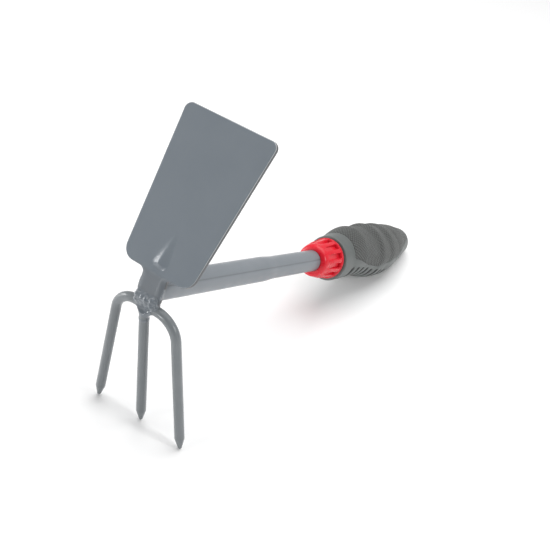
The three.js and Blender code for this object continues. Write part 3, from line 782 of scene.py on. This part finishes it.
def make_weld(name, stands_for, low, high, shape, rough, seed):
    """Meshes a weld from a distance field. The shape gives the weld's field and that of the metal
    it joins; its ripples die out where it meets that metal."""
    counts = [math.ceil((b - a) / WELD_STEP) + 1 for a, b in zip(low, high)]
    axes = [a + np.arange(count) * WELD_STEP for a, count in zip(low, counts)]
    places = np.stack(np.meshgrid(*axes, indexing="ij"), -1)
    field, metal = shape(places)
    near = np.abs(field) < RIPPLE_REACH
    spots = places[near]
    lumps = ripple(spots * [1.0, 1.0, 0.7], 0.5, seed) + 0.5 * ripple(spots, 1.1, seed + 2)
    field[near] += rough * lumps * smooth_step(metal[near], 0.0, RIPPLE_REACH)
    for axis in range(3):  # the weld is closed where it reaches the side of its grid
        for end in (0, -1):
            side = [slice(None)] * 3
            side[axis] = end
            field[tuple(side)] = np.maximum(field[tuple(side)], 0.5)
    points, faces = surface_net(field, low, WELD_STEP)
    add_piece(name, points, faces, WELD_PAINT, stands_for, 80.0)


# -------- shaft

TUBE_SEGMENTS = 180
TUBE_LIP = 0.35
TUBE_OVERLAP = 0.2  # how far the tube's front end reaches into the welds
SEAM_ANGLE = math.radians(59.0)
SEAM_DEPTH = 0.18
SEAM_HALF = 0.42
SEAM_SHADE = 0.4


def make_tube():
    front = TUBE_FRONT - TUBE_OVERLAP
    inner, rear_inner = TUBE_RADIUS - TUBE_WALL, TUBE_REAR_RADIUS - TUBE_WALL
    outer = [
        (TUBE_RADIUS - TUBE_LIP, front), (TUBE_RADIUS - 0.1, front + 0.1),
        (TUBE_RADIUS, front + TUBE_LIP)]
    outer += [(TUBE_RADIUS, y) for y in np.linspace(12, STEP_START - 3, 14)]
    for share in np.linspace(0, 1, 15):
        eased = share * share * (3 - 2 * share)
        y = STEP_START - 1.5 + (STEP_END - STEP_START + 3) * share
        outer.append((TUBE_RADIUS + (TUBE_REAR_RADIUS - TUBE_RADIUS) * eased, y))
    outer += [(TUBE_REAR_RADIUS, y) for y in np.linspace(STEP_END + 3, TUBE_END, 18)]
    bore = [(rear_inner, TUBE_END), (rear_inner, STEP_END), (inner, STEP_START), (inner, front)]
    angles = even_angles(TUBE_SEGMENTS)
    rings = [spokes(angles) * radius + [0, y, 0] for radius, y in outer + bore]
    seam = np.exp(-((angles - SEAM_ANGLE) * TUBE_RADIUS / SEAM_HALF) ** 2)
    for ring in rings[:len(outer)]:
        ring[:, [0, 2]] *= (1 - SEAM_DEPTH * seam / TUBE_RADIUS)[:, None]
    points, faces = loft(rings + rings[:1], capped=False)
    skin = np.zeros((len(points), 3))
    skin[:len(outer) * TUBE_SEGMENTS, 2] = np.tile(SEAM_SHADE * seam, len(outer))
    add_piece("tube", points, faces, TUBE_PAINT, "shaft_tube", 40.0, skin)


# -------- collar

NOSE_LENGTH = 3.6
NOSE_RISE = 3.9
NOSE_BORE = TUBE_REAR_RADIUS + 0.3
TUBE_CLEAR = TUBE_REAR_RADIUS + 0.08
BORE_STEP = 188.7  # where the collar's bore widens for the core's spigot
FLUTES = 12
FLUTE_HALF = 1.7
FLUTE_FLOOR = 11.6
FLUTE_PHASE = math.radians(4.0)
RIDGE_CROWN = 0.10  # how far the ridges round off towards the flutes


def collar_radius(y):
    """The collar's outer line without its flutes."""
    nose = np.clip((y - COLLAR_FRONT) / NOSE_LENGTH, 0, 1)
    if nose < 1:
        return NOSE_BORE + NOSE_RISE * math.sqrt(1 - (1 - nose) ** 2)
    places = [COLLAR_FRONT + NOSE_LENGTH, COLLAR_FRONT + 9.5, COLLAR_REAR - 4.0, COLLAR_REAR - 1.5]
    return np.interp(y, places, [NOSE_BORE + NOSE_RISE, 12.9, 13.8, 13.9])


def make_collar():
    side = np.array([0, 2.2, 4.6, 6.1, 6.8, 7.3, 7.8, 8.4, 9.4, 11.2, 13.2])
    local = np.radians(np.concatenate([-side[:0:-1], side, [180 / FLUTES]]))
    angles = np.concatenate([local + i * 2 * math.pi / FLUTES for i in range(FLUTES)])
    local = np.tile(local, FLUTES)
    around = spokes(math.pi / 2 - FLUTE_PHASE - angles)
    floor = FLUTE_FLOOR / np.cos(local)
    across = np.abs(np.tan(local) * FLUTE_FLOOR)
    wall = 1 - smooth_step(across, FLUTE_HALF - 0.18, FLUTE_HALF + 0.08)
    crown = RIDGE_CROWN * (1 - smooth_step(across, FLUTE_HALF, FLUTE_HALF + 0.9))
    stations = np.concatenate([
        COLLAR_FRONT + NOSE_LENGTH * (1 - np.cos(np.linspace(0.02, math.pi / 2, 9))),
        np.linspace(COLLAR_FRONT + 4.3, COLLAR_REAR - 2.5, 20),
        COLLAR_REAR - np.array([2.3, 2.15, 2.0, 1.9, 1.8, 1.7, 1.55, 1.4]),
    ])
    rings = []
    for y in stations:
        outer = collar_radius(y)
        end = 1 - smooth_step(y, COLLAR_REAR - 2.15, COLLAR_REAR - 1.85)
        cut = np.maximum(outer - floor, 0) * wall * end
        rounded = crown * end * (outer > FLUTE_FLOOR) * (1 - wall)
        rings.append(around * (outer - cut - rounded)[:, None] + [0, y, 0])
    plain = [
        (COLLAR_RADIUS - 0.25, COLLAR_REAR - 1.3), (COLLAR_RADIUS - 0.05, COLLAR_REAR - 1.15),
        (COLLAR_RADIUS, COLLAR_REAR - 0.95), (COLLAR_RADIUS, COLLAR_REAR - 0.35),
        (COLLAR_RADIUS - 0.1, COLLAR_REAR - 0.1), (COLLAR_RADIUS - 0.35, COLLAR_REAR),
        (SPIGOT_CLEAR, COLLAR_REAR), (SPIGOT_CLEAR, BORE_STEP),
        (TUBE_CLEAR, BORE_STEP), (TUBE_CLEAR, COLLAR_FRONT + 0.1),
    ]
    rings += [around * radius + [0, y, 0] for radius, y in plain]
    points, faces = loft(rings + rings[:1], capped=False)
    add_piece("collar", points, faces, COLLAR_RED, "grip_collar", 42.0)


# -------- grip

def spline(knots):
    """A smooth function through (y, value) pairs: cubic, with no overshoot at the ends."""
    ys, values = np.asarray(knots, float).T
    slopes = np.gradient(values, ys)

    def at(y):
        y = np.clip(np.asarray(y, float), ys[0], ys[-1])
        i = np.clip(np.searchsorted(ys, y) - 1, 0, len(ys) - 2)
        width = ys[i + 1] - ys[i]
        s = (y - ys[i]) / width
        return ((2 * s ** 3 - 3 * s ** 2 + 1) * values[i] + (s ** 3 - 2 * s ** 2 + s) * width * slopes[i]
                + (3 * s ** 2 - 2 * s ** 3) * values[i + 1] + (s ** 3 - s ** 2) * width * slopes[i + 1])

    return at


# Heights of the grip's top and bottom line along the shaft.
GRIP_TOP = spline([
    (205.6, 15.6), (210, 16.1), (216, 17.05), (222, 19.4), (227, 20.9), (231, 21.6), (235, 21.3),
    (243, 20.9), (249, 20.35), (252.5, 20.9), (256, 22.1), (259.5, 21.8), (263, 21.1), (269, 20.15),
    (274.5, 21.2), (278, 20.9), (283, 20.2), (288, 20.05), (293, 19.45), (298, 19), (303, 17.9),
    (308, 17), (313, 16), (317.5, 15.1), (321.5, 12.9), (325.5, 10.6), (328.5, 8.5), (330.6, 6.9)])
GRIP_BOTTOM = spline([
    (205.6, -16.1), (213, -15.9), (221, -15.2), (229, -14.7), (237, -15.1), (246, -16.5), (257, -18.2),
    (265, -18.75), (274, -18.3), (285, -16.5), (293, -13.7), (309, -8.4), (320, -5.2), (330.6, -2.6)])
SPREAD = 18.0  # millimetres of skin for each radian round the grip
HALF_ROUND = math.pi * SPREAD
FRONT_ROUND = 0.8
REAR_ROUND = 2.2
REAR_DROP = 0.55  # how far the rear end is rolled under
SKIN_FRONT = GRIP_FRONT + FRONT_ROUND
SKIN_REAR = GRIP_END - REAR_ROUND
RIM_STEPS = 40
SKIN_STEP = 1.2
SKIN_LIP = 0.32  # how far the shell rolls down to the insert's edge
PAD_LIP = 0.38

# The insert's lower edge, as (y, degrees down from the top), between its two rounded corners.
INSERT_EDGE = spline([
    (220.5, 77), (227, 87), (236, 98), (244, 100), (254, 100), (261, 96), (270, 92), (277, 88),
    (290, 86.5), (298, 74), (305, 65), (311, 57)])
INSERT_FRONT = 217.6
INSERT_FRONT_CORNER = ((66, 217.6), (71.5, 217.9), (75, 218.8))
INSERT_REAR_CORNER = ((52, 313.6), (44, 315.6), (32, 316.9), (16, 317.6), (0, 317.8))
INSERT_DEPTH = 2.5
RECESS_GAP = 0.3
VALLEYS = (249.0, 267.5, 284.0)
VALLEY_DEPTH = 0.65
VALLEY_HALF = 3.0
VALLEY_SLANT = 0.22  # how far back a valley runs for each millimetre down the side
LINES = (297.5, 303.5, 309.0)  # shallow lines across the insert's rear
LINE_DEPTH = 0.22
LINE_HALF = 0.9

GROOVES = 8
GROOVE_FIRST = 218.6
GROOVE_PITCH = 7.45
GROOVE_HALF = 1.7
GROOVE_DEPTH = 2.6
GROOVE_ZONE = math.radians(96) * SPREAD  # the skin below this is meshed row by row
GROOVE_ROWS = np.array([
    -2.2, -1.8, -1.55, -1.3, -1.05, -0.6, 0.0, 0.6, 1.05, 1.3, 1.55, 1.8, 2.2, 2.95, 3.72, 4.5])
GROOVE_MIDDLES = [GROOVE_FIRST + i * GROOVE_PITCH for i in range(GROOVES)]

CORE_SHOULDER = 289.1  # where the grip core starts to narrow, and where its bore ends
CORE_END = 311.3


def grip_point(flat, lift):
    """Places skin coordinates (round from the top, y along) on the grip, raised by lift."""
    angle, y = flat[:, 0] / SPREAD, flat[:, 1]
    top, bottom = GRIP_TOP(y), GRIP_BOTTOM(y)
    radius = (top - bottom) / 2 + lift
    return np.stack([radius * np.sin(angle), y, (top + bottom) / 2 + radius * np.cos(angle)], 1)


def insert_border():
    """The insert's edge on one side, from the top of its front edge round to the top of its rear."""
    lower = [(float(INSERT_EDGE(y)), y) for y in np.arange(220.5, 311.1, 1.5)]
    around = [*INSERT_FRONT_CORNER, *lower, *INSERT_REAR_CORNER]
    around = [(math.radians(degrees) * SPREAD, y) for degrees, y in around]
    front = [(s, INSERT_FRONT) for s in np.linspace(0, math.radians(62) * SPREAD, 24)]
    return resampled(front + around, 0.7, False)


def groove_cut(flat):
    """How deep the finger grooves under the grip are at skin coordinates, as a share of their depth."""
    cut = np.zeros(len(flat))
    for i, middle in enumerate(GROOVE_MIDDLES):
        end = math.radians(98 + 14 * math.sqrt(i / (GROOVES - 1))) * SPREAD
        beyond = np.maximum(end + GROOVE_HALF - flat[:, 0], 0)
        reach = np.hypot(flat[:, 1] - middle, beyond)
        cut = np.maximum(cut, 1 - smooth_step(reach, GROOVE_HALF - 0.62, GROOVE_HALF + 0.02))
    return cut


def pad_dip(flat, distance):
    """How deep the insert's skin dips: valleys between its swells on the sides of the grip, and
    lines across its rear. Distance is from the insert's edge."""
    s, y = flat[:, :1], flat[:, 1:]
    angle = flat[:, 0] / SPREAD
    side = smooth_step(angle, math.radians(4), math.radians(26)) * smooth_step(distance, 0.6, 4.0)
    middles = np.array(VALLEYS) + VALLEY_SLANT * s
    valleys = VALLEY_DEPTH * side * np.exp(-((y - middles) / VALLEY_HALF) ** 2).sum(1)
    top = 1 - smooth_step(angle, math.radians(40), math.radians(75))
    lines = LINE_DEPTH * np.exp(-((y - np.array(LINES)) / LINE_HALF) ** 2).sum(1)
    lines = lines * top * smooth_step(distance, 0.4, 2.0)
    return PAD_LIP * (1 - smooth_step(distance, 0.0, 1.0)) + lines + valleys


def skin_points(border):
    """Points over half of the grip's skin: the border's first, then more, closer together at the
    insert's edge and in the grooves."""
    run = unit(np.gradient(border, axis=0))
    outward = np.stack([run[:, 1], -run[:, 0]], 1)
    outward[[0, -1], 0] = 0
    near = [border + side * gap * outward for gap in (0.14, 0.32, 0.55, 0.85) for side in (1, -1)]
    rows = np.arange(SKIN_FRONT + SKIN_STEP, SKIN_REAR - 0.8, SKIN_STEP)
    spread = []
    for i, y in enumerate(rows):
        spread += [(s, y) for s in np.arange(SKIN_STEP / 2 * (i % 2), GROOVE_ZONE, SKIN_STEP)]
    groove_rows = np.add.outer(GROOVE_MIDDLES, GROOVE_ROWS).ravel()
    plain_rows = [y for y in rows if y < GROOVE_FIRST - 2.8 or y > GROOVE_MIDDLES[-1] + 5.0]
    for ys, step in ((groove_rows, 1.0), (plain_rows, SKIN_STEP)):
        spread += [(s, y) for y in ys for s in np.arange(GROOVE_ZONE, HALF_ROUND - 0.4, step)]
    spread = np.array(spread)
    spread = spread[line_distance(spread, border, False) > 1.15]
    rims = [(s, y) for y in (SKIN_FRONT, SKIN_REAR) for s in np.linspace(0, HALF_ROUND, RIM_STEPS + 1)]
    top = np.arange(SKIN_FRONT + SKIN_STEP, SKIN_REAR - 0.6, 1.0)
    top = top[np.abs(top[:, None] - border[[0, -1], 1]).min(1) > 1.1]
    bottom = np.unique(np.round([*groove_rows, *plain_rows], 4))
    middle = [(0.0, y) for y in top] + [(HALF_ROUND, y) for y in bottom]
    return np.concatenate([border, *near, spread, rims, middle])


def mirrored(points, faces, coords):
    """Drops unused points, then adds the same faces on the other side."""
    used = sorted({v for face in faces for v in face})
    place = {v: i for i, v in enumerate(used)}
    points, coords = points[used], coords[used]
    faces = [tuple(place[v] for v in face) for face in faces]
    size = len(points)
    faces += [tuple(v + size for v in reversed(face)) for face in faces]
    return (np.concatenate([points, points * [-1, 1, 1]]), faces,
            np.concatenate([coords, coords * [-1, 1, 1]]))


def with_ends(points, faces, coords):
    """Adds the rolled rims, the front face, the bore and the rear end to the grip's skin."""
    count = 2 * RIM_STEPS
    around = spokes(even_angles(count))

    def ring(radius, y, height):
        return around * radius + [0, y, height]

    def form(y):
        top, bottom = float(GRIP_TOP(y)), float(GRIP_BOTTOM(y))
        return (top - bottom) / 2, (top + bottom) / 2

    radius, height = form(SKIN_FRONT)
    front = []
    for a in np.radians([0, 22, 45, 67, 90]):
        rolled = radius - FRONT_ROUND * (1 - math.cos(a))
        front.append(ring(rolled, SKIN_FRONT - FRONT_ROUND * math.sin(a), height))
    bore = [
        (12.4, GRIP_FRONT), (SPIGOT_CLEAR, GRIP_FRONT), (SPIGOT_CLEAR, GRIP_FRONT + 0.9),
        (CORE_CLEAR, GRIP_FRONT + 0.9), (CORE_CLEAR, CORE_SHOULDER), (4.5, CORE_END), (0.02, CORE_END)]
    front += [ring(bore_radius, y, 0.0) for bore_radius, y in bore]

    radius, height = form(SKIN_REAR)
    rear = []
    for a in np.radians([0, 18, 36, 54, 72, 90]):
        rolled = radius - REAR_ROUND * (1 - math.cos(a))
        rear.append(ring(rolled, SKIN_REAR + REAR_ROUND * math.sin(a), height - REAR_DROP * math.sin(a)))
    rear.append(ring((radius - REAR_ROUND) * 0.5, GRIP_END, height - REAR_DROP))

    for rings in (front, rear):
        more, quads = loft(rings, capped=False)
        base = len(points)
        last, tip = base + len(more) - count, base + len(more)
        faces = faces + [tuple(v + base for v in quad) for quad in quads]
        faces += [(last + j, last + (j + 1) % count, tip) for j in range(count)]
        points = np.concatenate([points, more, [rings[-1].mean(0)]])
        coords = np.concatenate([coords, np.zeros((len(more) + 1, 3))])
    return points, faces, coords


def make_grip():
    border = insert_border()
    flat = skin_points(border)
    low, high = np.array([0, SKIN_FRONT]), np.array([HALF_ROUND, SKIN_REAR])
    flat = flat[((flat > low - 1e-9) & (flat < high + 1e-9)).all(1)]
    size = len(flat)
    edges = [(i, i + 1) for i in range(len(border) - 1)]
    triangles = np.array(triangulated(flat, edges, lambda middle: middle[:, 0] > 0))
    loop = np.concatenate([border, [[-5.0, border[-1][1]], [-5.0, border[0][1]]]])
    covered = inside_loop(flat[triangles].mean(1), loop)
    distance = line_distance(flat, border, False)
    groove = groove_cut(flat)
    lip = SKIN_LIP * (1 - smooth_step(distance, 0.0, 0.75))
    outer = grip_point(flat, -lip - GROOVE_DEPTH * groove)
    recess = grip_point(flat, -INSERT_DEPTH - RECESS_GAP)
    pad = grip_point(flat, -pad_dip(flat, distance))
    under = grip_point(flat, -INSERT_DEPTH)
    # skin Z: how deep the finger grooves are cut, where the painted shadow goes
    skin = np.tile(np.column_stack([flat, groove]), (2, 1))
    wall = [(i, j, j + size, i + size) for i, j in edges]
    floor = triangles[covered] + size

    shell = mirrored(np.concatenate([outer, recess]), [*triangles[~covered], *floor, *wall], skin)
    points, faces, coords = with_ends(*shell)
    add_piece("shell", points, faces, SHELL_GREY, "grip_shell", 38.0, coords)
    insert = mirrored(np.concatenate([pad, under]), [*triangles[covered], *floor, *wall], skin)
    points, faces, coords = insert
    add_piece("insert", points, faces, INSERT_GREY, "grip_insert", 38.0, coords)


# -------- floor, light and camera

FLOOR_SIZE = 60.0
SKY = 0.585  # brightness of the studio round the object
DARK_SIDE = (0.45, -0.80, 0.42)  # the direction in which the studio falls away to DARK_SKY
DARK_SKY = SKY * 0.3
DARK_STARTS = 0.55  # cosines of the angle off that direction
DARK_ENDS = 0.95
# Soft boxes: direction from the tool's neck, distance, width and height, brightness.
LIGHTS = {
    "left_box": ((-0.95, -0.29, 0.14), 1.0, (0.46, 0.30), 7.0),
    "front_box": ((-0.28, -0.96, 0.08), 1.1, (0.27, 0.11), 35.0),
    "right_box": ((0.84, 0.07, 0.50), 1.0, (0.18, 0.30), 16.0),
    "top_box": ((-0.05, 0.35, 1.0), 1.4, (1.4, 1.4), 2.7),
}
LIGHT_AIM = (0, 6, 0)
# The camera's place and directions, in the tool's axes.
CAMERA_PLACE = (303.17, -458.40, 206.30)
CAMERA_RIGHT = (0.788, 0.518, 0.333)
CAMERA_FORWARD = (-0.4312, 0.8500, -0.3026)
CAMERA_LENS = 70.08
CAMERA_SENSOR = 36.0


def make_floor():
    mesh = bpy.data.meshes.new("floor")
    half = FLOOR_SIZE / 2
    corners = [(-half, -half, 0), (half, -half, 0), (half, half, 0), (-half, half, 0)]
    mesh.from_pydata(corners, [], [(0, 1, 2, 3)])
    n = Nodes("floor_white")
    n.put(n.shader, "Base Color", n.blend(n.noise(3.0), grey(0.93), grey(0.95)))
    n.put(n.shader, "Roughness", 0.9)
    n.put(n.shader, "Specular IOR Level", 0.1)
    mesh.materials.append(n.material)
    floor = bpy.data.objects.new("floor", mesh)
    bpy.context.scene.collection.objects.link(floor)


def make_sky():
    world = bpy.data.worlds.new("studio")
    bpy.context.scene.world = world
    world.use_nodes = True
    tree = world.node_tree
    sky = tree.nodes["Background"]
    sky.inputs["Color"].default_value = grey(1.0)
    where = tree.nodes.new("ShaderNodeTexCoord")
    toward = tree.nodes.new("ShaderNodeVectorMath")
    toward.operation = "DOT_PRODUCT"
    toward.inputs[1].default_value = Vector(DARK_SIDE).normalized()
    fall = tree.nodes.new("ShaderNodeMapRange")
    numbers = {"From Min": DARK_STARTS, "From Max": DARK_ENDS, "To Min": SKY, "To Max": DARK_SKY}
    for key, number in numbers.items():
        fall.inputs[key].default_value = number
    tree.links.new(where.outputs["Generated"], toward.inputs[0])
    tree.links.new(toward.outputs["Value"], fall.inputs["Value"])
    tree.links.new(fall.outputs["Result"], sky.inputs["Strength"])


def add_light(name, direction, distance, size, radiance):
    light = bpy.data.lights.new(name, "AREA")
    light.shape = "RECTANGLE"
    light.size, light.size_y = size
    light.energy = radiance * math.pi * size[0] * size[1]
    holder = bpy.data.objects.new(name, light)
    aim = Vector(to_row([LIGHT_AIM])[0])
    holder.location = aim + Vector(direction).normalized() * distance
    holder.rotation_mode = "QUATERNION"
    holder.rotation_quaternion = (aim - holder.location).to_track_quat("-Z", "Y")
    bpy.context.scene.collection.objects.link(holder)


def make_camera():
    data = bpy.data.cameras.new("camera")
    data.sensor_width = CAMERA_SENSOR
    data.lens = CAMERA_LENS
    data.clip_start, data.clip_end = 0.01, 50.0
    camera = bpy.data.objects.new("camera", data)
    forward = Vector(np.asarray(CAMERA_FORWARD) @ AXES).normalized()
    right = Vector(np.asarray(CAMERA_RIGHT) @ AXES)
    right = (right - forward * right.dot(forward)).normalized()
    turn = Matrix((right, right.cross(forward), -forward)).transposed().to_4x4()
    camera.matrix_world = Matrix.Translation(Vector(to_row([CAMERA_PLACE])[0])) @ turn
    bpy.context.scene.collection.objects.link(camera)
    bpy.context.scene.camera = camera


make_blade()
make_fork()
make_centre_tine()
for weld in WELDS:
    make_weld(*weld)
make_tube()
make_collar()
make_grip()
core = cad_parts["grip_core"]
core.data.materials.clear()
core.data.materials.append(CORE_BLACK)

make_floor()
make_sky()
for name, settings in LIGHTS.items():
    add_light(name, *settings)
make_camera()
bpy.context.scene.view_settings.view_transform = "Standard"
